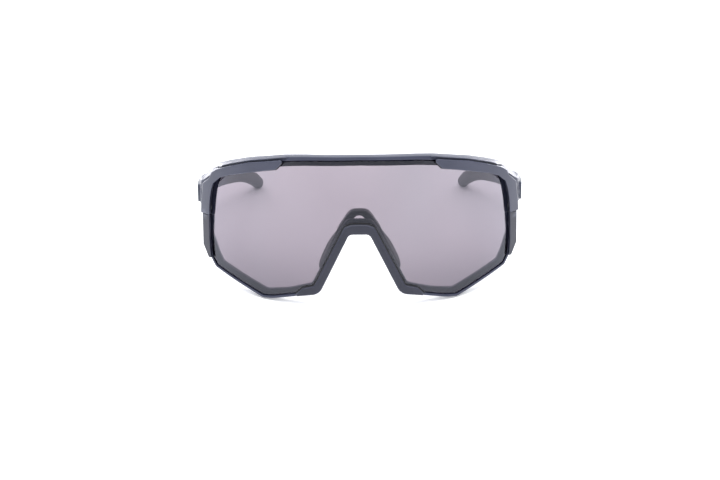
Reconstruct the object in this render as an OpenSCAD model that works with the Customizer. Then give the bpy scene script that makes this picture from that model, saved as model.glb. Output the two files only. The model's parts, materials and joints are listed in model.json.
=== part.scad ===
// Wraparound sport sunglasses: one curved shield lens in a two-part frame, with folding arms.
// The design is drawn in the lens's own frame: X to the wearer's left, Y from the lens to the
// face, Z up, with the lens's foremost point at the origin. Every piece is then pitched back
// until the lower rim and the arms' tips stand on the surface z = 0.

/* [Lens] */
// Radius of the lens's front face, in plan
lens_r = 88; // [80:0.5:100]
// Thickness of the lens
lens_t = 2; // [1.6:0.1:2.2]
// Shadow gap between the lens's edge and the rim's lip
lens_gap = 0.45; // [0.4:0.05:0.6]

/* [Frame] */
// Thickness of the flange behind the lens
flange_t = 2.4; // [2:0.1:3]
// Width of the lip round the lower rim, seen from the front
lip_w = 1; // [0.9:0.05:1.2]
// Height of the lip above the lens's front face
lip_h = 0.5; // [0.3:0.1:0.9]
// Height of the visor above the lens's front face, over the shoulder covers
visor_h = 1.2; // [0.8:0.1:1.6]
// Extra depth of the brow bar behind the flange
brow_depth = 1.6; // [0.8:0.1:2.5]
// Thickness of the shoulder covers
cover_t = 1.8; // [1.4:0.1:2.2]
// Thickness of the side guards
guard_t = 1.3; // [1:0.1:1.6]
// Thickness of the nose cover
nose_cover_t = 1.5; // [1.2:0.1:1.8]

/* [Hinge] */
// Distance of each hinge axis from the middle
hinge_x = 67.5; // [67:0.1:68]
// Distance of each hinge axis behind the lens's foremost point
hinge_y = 39.5; // [39:0.1:40.5]
// Height of the middle of the hinge
hinge_z = 6.4; // [6:0.1:7]
// Radius of the hinge's knuckles
knuckle_r = 2.3; // [2:0.05:2.4]
// Height of the middle knuckle
tongue_h = 5.6; // [5:0.1:6]
// Height of each outer knuckle
lug_h = 2.5; // [2:0.1:2.6]
// Radius of the hinge screw's shank
screw_r = 0.8; // [0.7:0.05:0.9]
// Running clearance round the screw
screw_clearance = 0.05; // [0.03:0.01:0.08]
// Clearance between parts that move past each other
hinge_gap = 0.3; // [0.3:0.05:0.5]

/* [Arms] */
// Share of the arm, from the hinge back, that isn't covered by the soft tip
tip_split = 0.5; // [0.45:0.01:0.56]
// Length of the tongue that holds the sleeve on the arm
tip_tongue_l = 13; // [10:1:15]
// Height of the badge inlay
badge_h = 8.4; // [7:0.1:9]
// Length of the badge inlay
badge_l = 14; // [10:1:16]

/* [Stance] */
// Pitch of the glasses as they stand on their rim and tips
pitch = 11; // [11:0.1:11.2]

/* [Hidden] */
$fn = 64;

// Place of the lens's frame on the surface that the glasses stand on
seat = [0, -66.97, 36.4];
// Reach of a cut past the material that it goes through
past = 5;
// Room that is wider, deeper and taller than the whole part
whole = 200;
// X inside which the hinges' cuts don't reach, and the height of those cuts
hinge_cut_x = 60;
hinge_cut_h = 30;

// Radii of the layers, from the face to the front
lens_back_r = lens_r - lens_t;
fit = 0.1;
flange_r = lens_back_r - fit;
flange_back_r = flange_r - flange_t;
brow_back_r = flange_back_r - brow_depth;
trim_r = lens_r + fit;
// Depth by which the end block reaches into the wall in front of it
wall_overlap = 0.4;

// Facets round the curved layers, and the step of a rounded corner in degrees
layer_facets = 180;
arc_step = 15;

// Outlines as seen from the front, [x, z], or [x, z, corner radius], for the half at +X.
// Top edge of the frame, from the middle to the hinge block's lower end
brow_top = [[0, 29.45], [24, 29.2], [32.5, 28.7], [47.6, 26.4], [57, 23.8], [63, 21.4, 3],
    [66.4, 19.2], [70.8, 13.9, 1.5], [71.1, -1.3]];
// Inner edge of the wall round the lens's top and of the side arm
brow_lip = [[0, 28.1], [28, 27.6], [34, 26.8], [48, 24.6], [57.5, 21.9], [61.4, 19.6],
    [64.3, 14.4], [65.4, 10.3], [66.2, 5.7], [66.8, -1.3]];
// Room inside that wall, closed below the hinge
brow_room = concat(brow_lip, [[67, -10], [0, -10]]);
// Inner edge of the flange behind the lens
brow_flange = [[0, 25.3], [25.6, 24.8], [35.4, 23.8], [47.7, 21.3], [56.9, 19.1],
    [60.6, 17.2, 2], [63.2, 10.5], [64, 5.9], [64.9, -1.3]];
// Lower edge of the rim, from the nose to the side arm's upper end
rim_outer = [[0, -4.1], [4.35, -4.1, 2.4], [17.55, -30.65, 5.5], [27.6, -32.2], [38.2, -34.2],
    [42.6, -34.4, 2], [64.7, -24.3, 1.5], [66.8, -20.9], [70.2, -15.3], [70.2, -1.5]];
// Corners of that edge that the lens follows
rim_seat_corners = 8;
// Inner edge of the side arm
arm_inner = [[66.5, -19.6], [67, -12.8], [66.8, -1.5]];
// Upper end of the room for the lens, in the middle
rim_room_end = [0, 5];
// Inner edge of the lower flange
rim_flange = [[0, 2.1], [5.2, 2.1, 2.5], [8.6, -2.9], [20.6, -26.6, 1], [30.5, -29.4],
    [40.4, -30.9], [60.8, -22, 1], [65.7, -10.6], [65, -1.5]];
// Lens's edge above its widest point
lens_upper = [[65.9, -17.7], [65.6, -8.1], [65, -1.4], [64.1, 5.9], [63.3, 10.5],
    [61.9, 16.2, 2], [60.4, 19.2, 2], [57, 21.4], [48, 24.1], [34, 26.3], [28, 27.1], [0, 27.6]];
// Nose cover: its lower edge from the bridge to the rim, then its upper edge back
nose_cover_outline = [[0, -4.1], [4.35, -4.1, 2.4], [17.55, -30.65, 5.5], [27.3, -32.1],
    [28.4, -31], [25.3, -27.9, 1], [20.1, -26.5, 0.8], [6.9, -0.5, 2.5], [3.6, 0.8, 3], [0, 0.9]];
// Room in front of the lower frame for the nose cover
nose_cover_room = [[0, -40], [27.2, -40], [27.6, -32.5], [28.9, -31.1], [28.9, 5], [0, 5]];
// Gap above the shoulder cover, with the groove's width and depth behind it
cover_gap = 0.3;
groove_w = 0.35;
groove_depth = 1;
// Middle of the frame's seam with the shoulder cover's inner end
cover_seam_x = 30.6;
// Hinge block behind the side arm
end_block_outline = [[65.2, 0.3], [70.8, 0.3], [70.5, 13.8, 1.5], [66.2, 18.9], [65.2, 19.5]];
end_block_front_y = 20;
// Shoulder cover
cover_outline = [[31.3, 27.7, 0.9], [47.6, 25.4], [57, 22.7], [62.9, 20.5, 2.2], [65.3, 18.7],
    [66.6, 16, 2], [69.9, 12.9, 0.6], [71, 4.8], [71.3, -0.7, 0.5], [67, -0.7],
    [66.5, 5.7], [65.7, 10.3], [64.6, 13.8, 2], [61.2, 17, 2], [56.9, 18.7], [47.7, 20.9],
    [35.6, 23.2, 1.5]];
// Corners of the cover's upper edge, and the room in front of the wall below that edge
cover_top_corners = 6;
cover_room = [[100, -10], [37.7, -10], [37.7, 20.6]];
// Slanted facet outside the cover's outer corner: a point on it, and its turn
facet_at = [66.6, 29.1, 16.4];
facet_turn = [0, 51.4, -16];
facet_size = 40;
// Side guard
guard_outline = [[67.1, -1.05], [70.5, -1.05, 0.4], [70.6, -15.2, 0.8], [68, -20.6, 0.5],
    [66.7, -20.5], [67.2, -12.8]];
// Room in front of the side arm for the guard
side_guard_room = [[66.1, -20.9], [80, -20.9], [80, 5], [66.1, 5]];
// Arch of the nose bracket, from the bridge to the lower end of a leg
bracket_outer = [[0, 5.3], [4, 5.3, 5], [9.6, -3.2], [17.6, -19.8]];
bracket_w = 2.5;
bracket_r = flange_back_r - fit;
bracket_back_r = bracket_r - 2;
// Extra depth of the bracket's arch, and the room behind the legs below it
bracket_arch = 4;
bracket_leg_room = [[0, -40], [40, -40], [40, -3.2], [0, -3.2]];

// Stations up the left pad: [z, front x, rear x, rear y, thickness]
pad_stations = [[-21.5, 16.4, 17.4, 12.2, 1.6], [-19, 15.2, 17, 14.6, 2.2],
    [-15, 13.2, 15.3, 15.8, 2.4], [-10, 10.7, 12.8, 15.2, 2.3], [-6, 8.6, 10.1, 13.8, 2],
    [-3.4, 7.3, 8.3, 12.2, 1.2]];
pad_rings = 14;
pad_sides = 12;

// Stations along the left arm: [y, outer x, middle z, thickness, height]
arm_stations = [[38.9, 71.5, 6.4, 4.8, 12.8], [50, 73.9, 6.3, 6.2, 12.3],
    [62, 74.5, 5.9, 5.1, 11], [77, 73.1, 5.2, 3.8, 9.2], [91, 70.2, 4.3, 3.5, 7.9],
    [104, 66.7, 3, 3.9, 7.2], [115, 63.1, 1.5, 4.3, 6.7], [125, 59.6, -0.9, 4.6, 6.5],
    [134, 57.2, -4, 5, 6.5], [141, 56.1, -7.1, 5.7, 6.3]];
arm_rings = 24;
arm_sides = 16;
// Squareness of the arms' and pads' sections: 1 is round, 0 is square
section_power = 0.6;
// Share of the arm over which its direction is taken
direction_step = 0.01;
// Share of the arm left between it and its tip, and the tip's rounded end: [size, way on]
tip_gap = 0.002;
tip_end = [[0.85, 0.9], [0.6, 1.5], [0.25, 1.8]];
// Badge's place on the arm's outer face, and its slant out from the arm
badge_at = [73.75, 50.5, 6.3];
badge_turn = -7.5;
badge_t = 1.3;
// Straight tongue inside the tip sleeve
tongue_w = 1.6;
tip_tongue_h = 4;
tongue_root = 4;
// Screw's head
screw_head_r = 1.5;
screw_head_h = 0.8;
screw_slot_w = 0.4;
// Plate of each half of the hinge; the arm's lies off the hinge's middle by its offset
fork_plate_t = 2.4;
fork_plate_l = 6;
fork_base_l = 1.4;
temple_plate_offset = 0.2;
temple_plate_l = 10.5;
temple_plate_t = 1.6;
temple_plate_h = 4;

// ---- outlines ----

function unit(v) = v / norm(v);
function side_normal(a, b) = let (u = unit(b - a)) [-u[1], u[0]];
function flat(p) = [p[0], p[1]];
function corner_r(p) = len(p) > 2 ? p[2] : 0;

// The open outline moved sideways by d, to the left of its direction, with mitred corners
function moved(path, d) = let (n = len(path) - 1) [for (i = [0:n])
    let (
        before = side_normal(flat(path[max(i - 1, 0)]), flat(path[max(i, 1)])),
        after = side_normal(flat(path[min(i, n - 1)]), flat(path[min(i + 1, n)])),
        middle = unit(before + after)
    )
    concat(flat(path[i]) + middle * d / (middle * before), [moved_r(path[i], before, after, d)])];

// Radius of a rounded corner once its outline has moved sideways by d
function moved_r(p, before, after, d) = corner_r(p) == 0 ? 0
    : max(corner_r(p) - d * sign(before[0] * after[1] - before[1] * after[0]), 0);

// The arc of radius r that rounds the corner b between a and c
function arc_points(a, b, c, r) = let (
        u = unit(a - b),
        v = unit(c - b),
        half = acos(u * v) / 2,
        centre = b + unit(u + v) * r / sin(half),
        start = b + u * r / tan(half) - centre,
        sweep = sign(u[0] * v[1] - u[1] * v[0]) * (half * 2 - 180),
        steps = max(2, ceil(abs(sweep) / arc_step))
    )
    [for (i = [0:steps]) let (t = sweep * i / steps)
        centre + [start[0] * cos(t) - start[1] * sin(t), start[0] * sin(t) + start[1] * cos(t)]];

// The closed outline with its corners rounded
function rounded(points) = let (n = len(points)) [for (i = [0:n - 1])
    let (here = points[i], r = corner_r(here))
    each r == 0 ? [flat(here)]
        : arc_points(flat(points[(i + n - 1) % n]), flat(here), flat(points[(i + 1) % n]), r)];

function reversed(list) = [for (i = [len(list) - 1:-1:0]) list[i]];

// The closed outline whose +X half is given, with its mirror image
function both_sides(half) = concat(half,
    [for (p = reversed(half)) if (p[0] > 0) concat([-p[0]], [for (i = [1:len(p) - 1]) p[i]])]);

// A solid with the outline that is seen from the front
module prism(outline) {
    translate([0, lens_r, 0])
        rotate([90, 0, 0])
            linear_extrude(height = lens_r * 2)
                polygon(rounded(outline));
}

// The curved layer between two radii, limited to the outline
module layer(inner, outer, outline) {
    intersection() {
        prism(outline);
        translate([0, lens_r, -lens_r])
            difference() {
                cylinder(r = outer, h = lens_r * 2, $fn = layer_facets);
                translate([0, 0, -past])
                    cylinder(r = inner, h = lens_r * 2 + past * 2, $fn = layer_facets);
                translate([-lens_r * 2, 0, -past])
                    cube([lens_r * 4, lens_r * 2, lens_r * 2 + past * 2]);
            }
    }
}

// ---- swept shapes ----

// Value of the smooth curve through the stations, at t from 0 to 1
function along(stations, t) = let (
        n = len(stations) - 1,
        i = min(floor(t * n), n - 1),
        s = t * n - i,
        a = stations[max(i - 1, 0)],
        b = stations[i],
        c = stations[i + 1],
        d = stations[min(i + 2, n)]
    )
    (2 * b + (c - a) * s + (2 * a - 5 * b + 4 * c - d) * s * s + (3 * b - a - 3 * c + d) * s * s * s) / 2;

// The section of width w and height h with softly rounded corners
function section(w, h, sides) = [for (i = [0:sides - 1])
    let (a = 360 * (i + 0.5) / sides, c = cos(a), s = sin(a))
    [sign(c) * pow(abs(c), section_power) * w / 2, sign(s) * pow(abs(s), section_power) * h / 2]];

function arm_centre(t) = let (p = along(arm_stations, t)) [p[1] - p[3] / 2, p[0], p[2]];
function arm_direction(t) = let (ahead = min(t + direction_step, 1), behind = max(t - direction_step, 0))
    unit(arm_centre(ahead) - arm_centre(behind));

// One ring round the arm at t, with its section scaled by k and moved on by ahead
function arm_ring(t, k = 1, ahead = 0) = let (
        p = along(arm_stations, t),
        u = arm_direction(t),
        out = unit([u[1], -u[0], 0]),
        up = cross(out, u)
    )
    [for (q = section(p[3] * k, p[4] * k, arm_sides)) arm_centre(t) + u * ahead + out * q[0] + up * q[1]];

// A closed skin over rings that all have the same number of points
module skin(rings) {
    n = len(rings[0]);
    last = len(rings) - 1;
    polyhedron(
        points = [for (ring = rings, p = ring) p],
        faces = concat(
            [[for (i = [n - 1:-1:0]) i]],
            [for (r = [0:last - 1], i = [0:n - 1]) let (j = (i + 1) % n)
                each [[r * n + i, (r + 1) * n + j, (r + 1) * n + i],
                    [r * n + i, r * n + j, (r + 1) * n + j]]],
            [[for (i = [0:n - 1]) last * n + i]]
        )
    );
}

// ---- stance ----

module stand() {
    translate(seat)
        rotate([-pitch, 0, 0])
            children();
}

// The piece as it stands, trimmed flat where it meets the surface
module stand_trimmed() {
    difference() {
        stand()
            children();
        translate([-whole / 2, -whole / 2, -past])
            cube([whole, whole, past]);
    }
}

module on_side(side) {
    mirror([side < 0 ? 1 : 0, 0, 0])
        children();
}

// ---- front ----

module upper_frame() {
    color([0.18, 0.19, 0.22])
        stand()
            difference() {
                union() {
                    layer(brow_back_r, lens_r + visor_h,
                        both_sides(concat(brow_top, reversed(brow_flange))));
                    for (side = [-1, 1])
                        on_side(side)
                            end_block();
                }
                brow_cuts();
                for (side = [-1, 1])
                    on_side(side)
                        end_block_cuts();
            }
}

// Room for the lens, for the covers in front, and behind the flange
module brow_cuts() {
    layer(flange_r, lens_r + past, both_sides(brow_room));
    layer(brow_back_r - past, flange_back_r, both_sides(brow_room));
    layer(lens_r + lip_h, lens_r + past, [[cover_seam_x, whole], [cover_seam_x, -past],
        [-cover_seam_x, -past], [-cover_seam_x, whole]]);
    for (side = [-1, 1])
        on_side(side) {
            corner_facet();
            layer(lens_r, lens_r + past, concat(seam_line(), cover_room));
            layer(lens_r - groove_depth, lens_r + past,
                concat(seam_line(), reversed(moved(seam_line(), -groove_w))));
        }
}

module corner_facet() {
    translate(facet_at)
        rotate(facet_turn)
            translate([-facet_size / 2, -facet_size / 2, 0])
                cube([facet_size, facet_size, facet_size / 2]);
}

// Line above the shoulder cover, from its inner end to the outer corner
function seam_line() = concat([[cover_seam_x, cover_outline[0][1] + cover_gap]],
    [for (i = [1:cover_top_corners]) flat(cover_outline[i]) + [0, cover_gap]]);

// Block behind the side arm that holds the hinge's fork
module end_block() {
    intersection() {
        prism(end_block_outline);
        translate([0, lens_r, -lens_r])
            cylinder(r = lens_r - wall_overlap, h = lens_r * 2, $fn = layer_facets);
        translate([hinge_cut_x, end_block_front_y, -past])
            cube([whole, hinge_y - end_block_front_y, hinge_cut_h]);
    }
}

module end_block_cuts() {
    hinge_room();
    translate([hinge_x, hinge_y, hinge_z])
        fork_plates(fit / 2);
    translate([hinge_cut_x, hinge_y, -past])
        cube([whole, whole, hinge_cut_h]);
}

// Room round the knuckles, through the whole height of the hinge
module hinge_room() {
    translate([hinge_x, hinge_y, -past])
        cylinder(r = knuckle_r + hinge_gap, h = hinge_cut_h);
}

module lower_frame() {
    color([0.16, 0.17, 0.2])
        stand_trimmed()
            difference() {
                layer(flange_back_r, lens_r + lip_h, both_sides(concat(rim_outer, reversed(rim_flange))));
                layer(flange_r, lens_r + past,
                    both_sides(concat(moved(rim_seat(), lip_w), arm_inner, [rim_room_end])));
                layer(lens_r, lens_r + past, both_sides(nose_cover_room));
                for (side = [-1, 1])
                    on_side(side)
                        layer(lens_r, lens_r + past, side_guard_room);
            }
}

// The rim's edge that the lens sits in
function rim_seat() = [for (i = [0:rim_seat_corners - 1]) rim_outer[i]];

module lens() {
    color([0.45, 0.42, 0.46, 0.6])
        stand()
            layer(lens_back_r, lens_r, both_sides(concat(moved(rim_seat(), lip_w + lens_gap), lens_upper)));
}

module shoulder_cover(side) {
    color([0.2, 0.21, 0.24])
        stand()
            on_side(side)
                layer(trim_r, trim_r + cover_t, cover_outline);
}

module side_guard(side) {
    color([0.2, 0.21, 0.24])
        stand()
            on_side(side)
                layer(trim_r, trim_r + guard_t, guard_outline);
}

module nose_cover() {
    color([0.2, 0.21, 0.24])
        stand()
            layer(trim_r, trim_r + nose_cover_t, both_sides(nose_cover_outline));
}

// ---- nose ----

module nose_bracket() {
    color([0.12, 0.12, 0.14])
        stand()
            difference() {
                layer(bracket_back_r - bracket_arch, bracket_r,
                    both_sides(concat(bracket_outer, reversed(moved(bracket_outer, -bracket_w)))));
                layer(bracket_back_r - bracket_arch - past, bracket_back_r, both_sides(bracket_leg_room));
            }
}

// Y just behind the bracket's leg, at x
function behind_bracket(x) = lens_r - sqrt(pow(bracket_back_r, 2) - x * x) + fit;

// Ring of the pad at t: a thin plate with round edges that flares out towards the face
function pad_ring(t) = let (
        p = along(pad_stations, t),
        front = [p[1], behind_bracket(p[1] + p[4] / 2)],
        rear = [p[2], p[3]],
        u = unit(rear - front),
        middle = (front + rear) / 2
    )
    [for (q = section(norm(rear - front), p[4], pad_sides))
        let (at = middle + u * q[0] + [u[1], -u[0]] * q[1]) [at[0], at[1], p[0]]];

module nose_pad(side) {
    color([0.1, 0.1, 0.11])
        stand()
            on_side(side)
                skin([for (i = [0:pad_rings]) pad_ring(i / pad_rings)]);
}

// ---- hinges ----

module on_hinge(side) {
    stand()
        on_side(side)
            translate([hinge_x, hinge_y, hinge_z])
                children();
}

// The fork's two plates and the base that joins them inside the end block, with room all round
module fork_plates(room = 0) {
    slot_h = tongue_h + (hinge_gap - room) * 2;
    difference() {
        translate([-fork_plate_t / 2 - room, -fork_plate_l - room, -fork_top() - room])
            cube([fork_plate_t + room * 2, fork_plate_l + room, (fork_top() + room) * 2]);
        translate([-past, fork_base_l - fork_plate_l + room, -slot_h / 2])
            cube([past * 2, fork_plate_l + past, slot_h]);
    }
}

// Lower face of the lug at the upper (1) or lower (-1) end
function lug_bottom(end) = end * (tongue_h / 2 + hinge_gap + lug_h / 2) - lug_h / 2;

module frame_hinge(side) {
    color("silver")
        on_hinge(side)
            difference() {
                union() {
                    fork_plates();
                    for (end = [-1, 1])
                        translate([0, 0, lug_bottom(end)])
                            cylinder(r = knuckle_r, h = lug_h);
                }
                screw_bore();
                translate([0, 0, fork_top() - screw_head_h])
                    cylinder(r = screw_head_r + screw_clearance, h = past);
            }
}

// Bore for the screw's shank, through the whole hinge
module screw_bore() {
    translate([0, 0, -fork_top() - past])
        cylinder(r = screw_r + screw_clearance, h = (fork_top() + past) * 2);
}

function fork_top() = tongue_h / 2 + hinge_gap + lug_h;

module hinge_screw(side) {
    color("gray")
        on_hinge(side)
            difference() {
                union() {
                    translate([0, 0, -fork_top()])
                        cylinder(r = screw_r, h = fork_top() * 2 - screw_head_h / 2);
                    translate([0, 0, fork_top() - screw_head_h])
                        cylinder(r = screw_head_r, h = screw_head_h);
                }
                translate([-screw_head_r * 2, -screw_slot_w / 2, fork_top() - screw_head_h / 2])
                    cube([screw_head_r * 4, screw_slot_w, screw_head_h]);
            }
}

module temple_plate() {
    translate([-temple_plate_offset, 0, -temple_plate_h / 2])
        cube([temple_plate_t, temple_plate_l, temple_plate_h]);
}

// Pocket for the plate, open towards the face
module temple_plate_pocket() {
    translate([-past, -past, -temple_plate_h / 2 - fit / 2])
        cube([past - temple_plate_offset + temple_plate_t + fit / 2, past + temple_plate_l + fit / 2,
            temple_plate_h + fit]);
}

module temple_hinge(side) {
    color("silver")
        on_hinge(side)
            difference() {
                union() {
                    temple_plate();
                    translate([0, 0, -tongue_h / 2])
                        cylinder(r = knuckle_r, h = tongue_h);
                }
                screw_bore();
            }
}

// ---- arms ----

module badge_block(room = 0) {
    translate(badge_at)
        rotate([0, 0, badge_turn])
            translate([-badge_t / 2 - room, -badge_l / 2 - room, -badge_h / 2 - room])
                cube([badge_t + room * 2 + (room > 0 ? past : 0), badge_l + room * 2, badge_h + room * 2]);
}

module tip_tongue(room = 0) {
    u = arm_direction(tip_split);
    size = [tongue_w, tongue_root + tip_tongue_l, tip_tongue_h] + [room, room, room] * 2;
    translate(arm_centre(tip_split))
        rotate([asin(u[2]), 0, -atan2(u[0], u[1])])
            translate([-size[0] / 2, -tongue_root - room, -size[2] / 2])
                cube(size);
}

module temple(side) {
    color([0.17, 0.18, 0.21])
        stand()
            on_side(side)
                difference() {
                    union() {
                        skin([for (i = [0:arm_rings]) arm_ring(tip_split * i / arm_rings)]);
                        tip_tongue();
                    }
                    hinge_room();
                    translate([hinge_x, hinge_y, hinge_z])
                        temple_plate_pocket();
                    badge_block(fit / 2);
                    translate([hinge_cut_x, hinge_y + hinge_gap - past * 2, -past])
                        cube([whole, past * 2, hinge_cut_h]);
                }
}

function tip_start() = tip_split + tip_gap;

module temple_tip(side) {
    color([0.09, 0.09, 0.1])
        stand_trimmed()
            on_side(side)
                difference() {
                    skin(concat(
                        [for (i = [0:arm_rings]) arm_ring(tip_start() + (1 - tip_start()) * i / arm_rings)],
                        [for (end = tip_end) arm_ring(1, end[0], end[1])]));
                    tip_tongue(fit / 2);
                }
}

module temple_badge(side) {
    color([0.1, 0.12, 0.18])
        stand()
            on_side(side)
                badge_block();
}

upper_frame();
lower_frame();
lens();
nose_cover();
nose_bracket();
nose_pad(1);  // left_nose_pad
nose_pad(-1);  // right_nose_pad
shoulder_cover(1);  // left_shoulder_cover
shoulder_cover(-1);  // right_shoulder_cover
side_guard(1);  // left_side_guard
side_guard(-1);  // right_side_guard
frame_hinge(1);  // left_frame_hinge
frame_hinge(-1);  // right_frame_hinge
temple_hinge(1);  // left_temple_hinge
temple_hinge(-1);  // right_temple_hinge
hinge_screw(1);  // left_hinge_screw
hinge_screw(-1);  // right_hinge_screw
temple(1);  // left_temple
temple(-1);  // right_temple
temple_tip(1);  // left_temple_tip
temple_tip(-1);  // right_temple_tip
temple_badge(1);  // left_temple_badge
temple_badge(-1);  // right_temple_badge
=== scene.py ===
import json
import math

import bmesh
import bpy
import numpy as np
from mathutils import Euler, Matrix, Quaternion, Vector, geometry


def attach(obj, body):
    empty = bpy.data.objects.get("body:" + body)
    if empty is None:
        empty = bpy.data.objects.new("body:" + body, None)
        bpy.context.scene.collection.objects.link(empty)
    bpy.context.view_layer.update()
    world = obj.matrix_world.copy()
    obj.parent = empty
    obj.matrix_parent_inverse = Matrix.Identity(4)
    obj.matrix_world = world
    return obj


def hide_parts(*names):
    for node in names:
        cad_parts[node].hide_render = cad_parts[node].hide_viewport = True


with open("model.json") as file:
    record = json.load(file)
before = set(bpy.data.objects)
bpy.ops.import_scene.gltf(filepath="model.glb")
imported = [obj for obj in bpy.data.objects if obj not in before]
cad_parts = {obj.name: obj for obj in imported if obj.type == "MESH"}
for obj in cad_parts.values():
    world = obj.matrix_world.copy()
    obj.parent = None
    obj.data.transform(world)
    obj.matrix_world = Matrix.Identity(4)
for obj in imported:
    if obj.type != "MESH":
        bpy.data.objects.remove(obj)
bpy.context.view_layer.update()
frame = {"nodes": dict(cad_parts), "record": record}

# The pieces are drawn in millimetres in the lens's own frame, as in the CAD: X to the wearer's left, Y from
# the lens back to the face, Z up, with the lens's foremost point at the origin. stood() puts a point where
# it stands.
MM = 0.001
PITCH = math.radians(11)
SEAT = Vector((0, -66.97, 36.4))
BODY_OF = {node: body for body, nodes in frame["record"]["behaviour"]["bodies"].items() for node in nodes}
SIDES = {"left": 1, "right": -1}

# Radii of the curved layers about the upright axis behind the lens
LENS_R = 88.0
LENS_BACK_R = 86.0
FLANGE_R = 85.9
FLANGE_BACK_R = 83.5
BROW_BACK_R = 81.9
TRIM_R = 88.1
LIP_R = 88.5
VISOR_R = 89.2
GROOVE_R = 87.0
COVER_R = 89.9
GUARD_R = 89.4
NOSE_COVER_R = 89.6
BRACKET_R = 83.4
BRACKET_BACK_R = 81.4
ARCH_DEPTH = 4.0
BRACKET_W = 2.5
LIP_W = 1.0
LENS_GAP = 0.45

# Hinge: its axis, the knuckles' room, and the arm's clearance behind it
HINGE = Vector((67.5, 39.5, 6.4))
KNUCKLE_ROOM_R = 2.6
KNUCKLE_ROOM_Z = (-5, 25)
ARM_START_Y = 39.8
# Room for the hinge's plate in the arm's root, from the hinge to its near and its far corner
PLATE_ROOM = ((-5, -5, -2.05), (1.45, 10.55, 2.05))
# Room in front of the arm, up to its root
FRONT_ROOM = ((50, 29, -8), (80, ARM_START_Y, 25))

# Roundings of the plates' front edges, and the longest edge of the trims' meshes
LENS_EDGE = 0.25
NOSE_COVER_EDGE = 0.6
COVER_EDGE = 0.4
GUARD_EDGE = 0.35
BASE_EDGE = 0.1
TRIM_SPACING = 1.5
# Roundings of the arms' cut edges and of the metal pieces' edges
ARM_EDGE = 0.2
METAL_EDGE = 0.12

# Outlines seen from the front, [x, z] or [x, z, corner radius], for the wearer's left half
RIM_OUTER = [(0, -4.1), (4.35, -4.1, 2.4), (17.55, -30.65, 5.5), (27.6, -32.2), (38.2, -34.2),
             (42.6, -34.4, 2), (64.7, -24.3, 1.5), (66.8, -20.9)]
LENS_UPPER = [(65.9, -17.7), (65.6, -8.1), (65, -1.4), (64.1, 5.9), (63.3, 10.5), (61.9, 16.2, 2),
              (60.4, 19.2, 2), (57, 21.4), (48, 24.1), (34, 26.3), (28, 27.1), (0, 27.6)]
NOSE_COVER = [(0, -4.1), (4.35, -4.1, 2.4), (17.55, -30.65, 5.5), (27.3, -32.1, 0.5), (28.4, -31, 0.5),
              (25.3, -27.9, 1), (20.1, -26.5, 0.8), (6.9, -0.5, 2.5), (3.6, 0.8, 3), (0, 0.9)]
COVER = [(31.3, 27.7, 0.9), (47.6, 25.4), (57, 22.7), (62.9, 20.5, 2.2), (65.3, 18.7), (66.6, 16, 2),
         (69.9, 12.9, 0.6), (71, 4.8), (71.3, -0.7, 0.5), (67, -0.7), (66.5, 5.7), (65.7, 10.3),
         (64.6, 13.8, 2), (61.2, 17, 2), (56.9, 18.7), (47.7, 20.9), (35.6, 23.2, 1.5)]
# Under the shoulder cover a thin near-black base shows as a line round the inner end, a painted shadow line
# along the cover's edge, and under the nose cover another one along the upper edge, from that corner on
COVER_BASE = [(30.7, 27.8, 1.3), *COVER[1:-1], (35.1, 22.9, 1.8)]
NOSE_UPPER = 4
SHADOW_LINE_W = 0.6
BASE_R = 88.5
GUARD = [(67.1, -0.85), (70.5, -0.85, 0.4), (70.6, -15.2, 0.8), (68, -20.6, 0.5), (66.7, -20.5),
         (67.2, -12.8)]

# Stations round the upper frame: outer edge, inner edge of the wall, inner edge of the flange, each as
# (x, z, blend)
BROW_STATIONS = [
    ((0, 29.45, 0), (0, 28.1, 0), (0, 25.3, 0)),
    ((24, 29.2, 4), (24, 27.7, 4), (25.6, 24.8, 4)),
    ((32.5, 28.7, 1), (33.6, 26.8, 1), (35.4, 23.8, 2)),
    ((47.6, 26.4, 3), (48, 24.6, 3), (47.7, 21.3, 3)),
    ((57, 23.8, 2.5), (57.5, 21.9, 2), (56.9, 19.1, 1.5)),
    ((63, 21.4, 1.4), (61.4, 19.6, 1.2), (60.6, 17.2, 1)),
    ((66.4, 19.2, 1.4), (64.3, 14.4, 1.4), (62.4, 12.6, 1)),
    ((70.8, 13.9, 1), (65.4, 10.3, 1), (63.2, 10.5, 1)),
    ((70.95, 6, 1), (66.2, 5.7, 1), (64, 5.9, 1)),
    ((71.1, -1.3, 0), (66.8, -1.3, 0), (64.9, -1.3, 0)),
]
# Stations round the lower frame, in the same order
RIM_STATIONS = [
    ((0, -4.1, 0), (0, -2.9, 0), (0, 2.1, 0)),
    ((4.35, -4.1, 1.5), (5.1, -2.9, 1.6), (5.2, 2.1, 1.6)),
    ((7.2, -9.7, 1), (8.3, -9.1, 1), (8.6, -2.9, 1)),
    ((17.55, -30.65, 2.75), (18.3, -29.6, 2.3), (20.6, -26.6, 1)),
    ((27.6, -32.2, 1.5), (27.8, -31.2, 1.5), (30.5, -29.4, 1)),
    ((38.2, -34.2, 1.5), (38.3, -33.2, 1.5), (38.6, -30.7, 0.5)),
    ((42.6, -34.4, 0.8), (42.4, -33.4, 0.7), (40.4, -30.9, 0.7)),
    ((64.7, -24.3, 0.6), (64, -23.6, 0.6), (60.8, -22, 0.6)),
    ((66.8, -20.9, 0.6), (65.9, -20.4, 0.4), (62.7, -18.6, 0.6)),
    ((70.2, -15.3, 1), (67, -12.8, 1), (65.7, -10.6, 1)),
    ((70.2, -1.5, 0), (66.8, -1.5, 0), (65, -1.5, 0)),
]

# The slanted facet outside the brow's corner: a point on it, its turn in degrees, and the size of the cut
FACET_AT = Vector((66.85, 29.0, 16.6))
FACET_TURN = (0, 51.4, -16)
FACET_SIZE = 20.0
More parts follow.
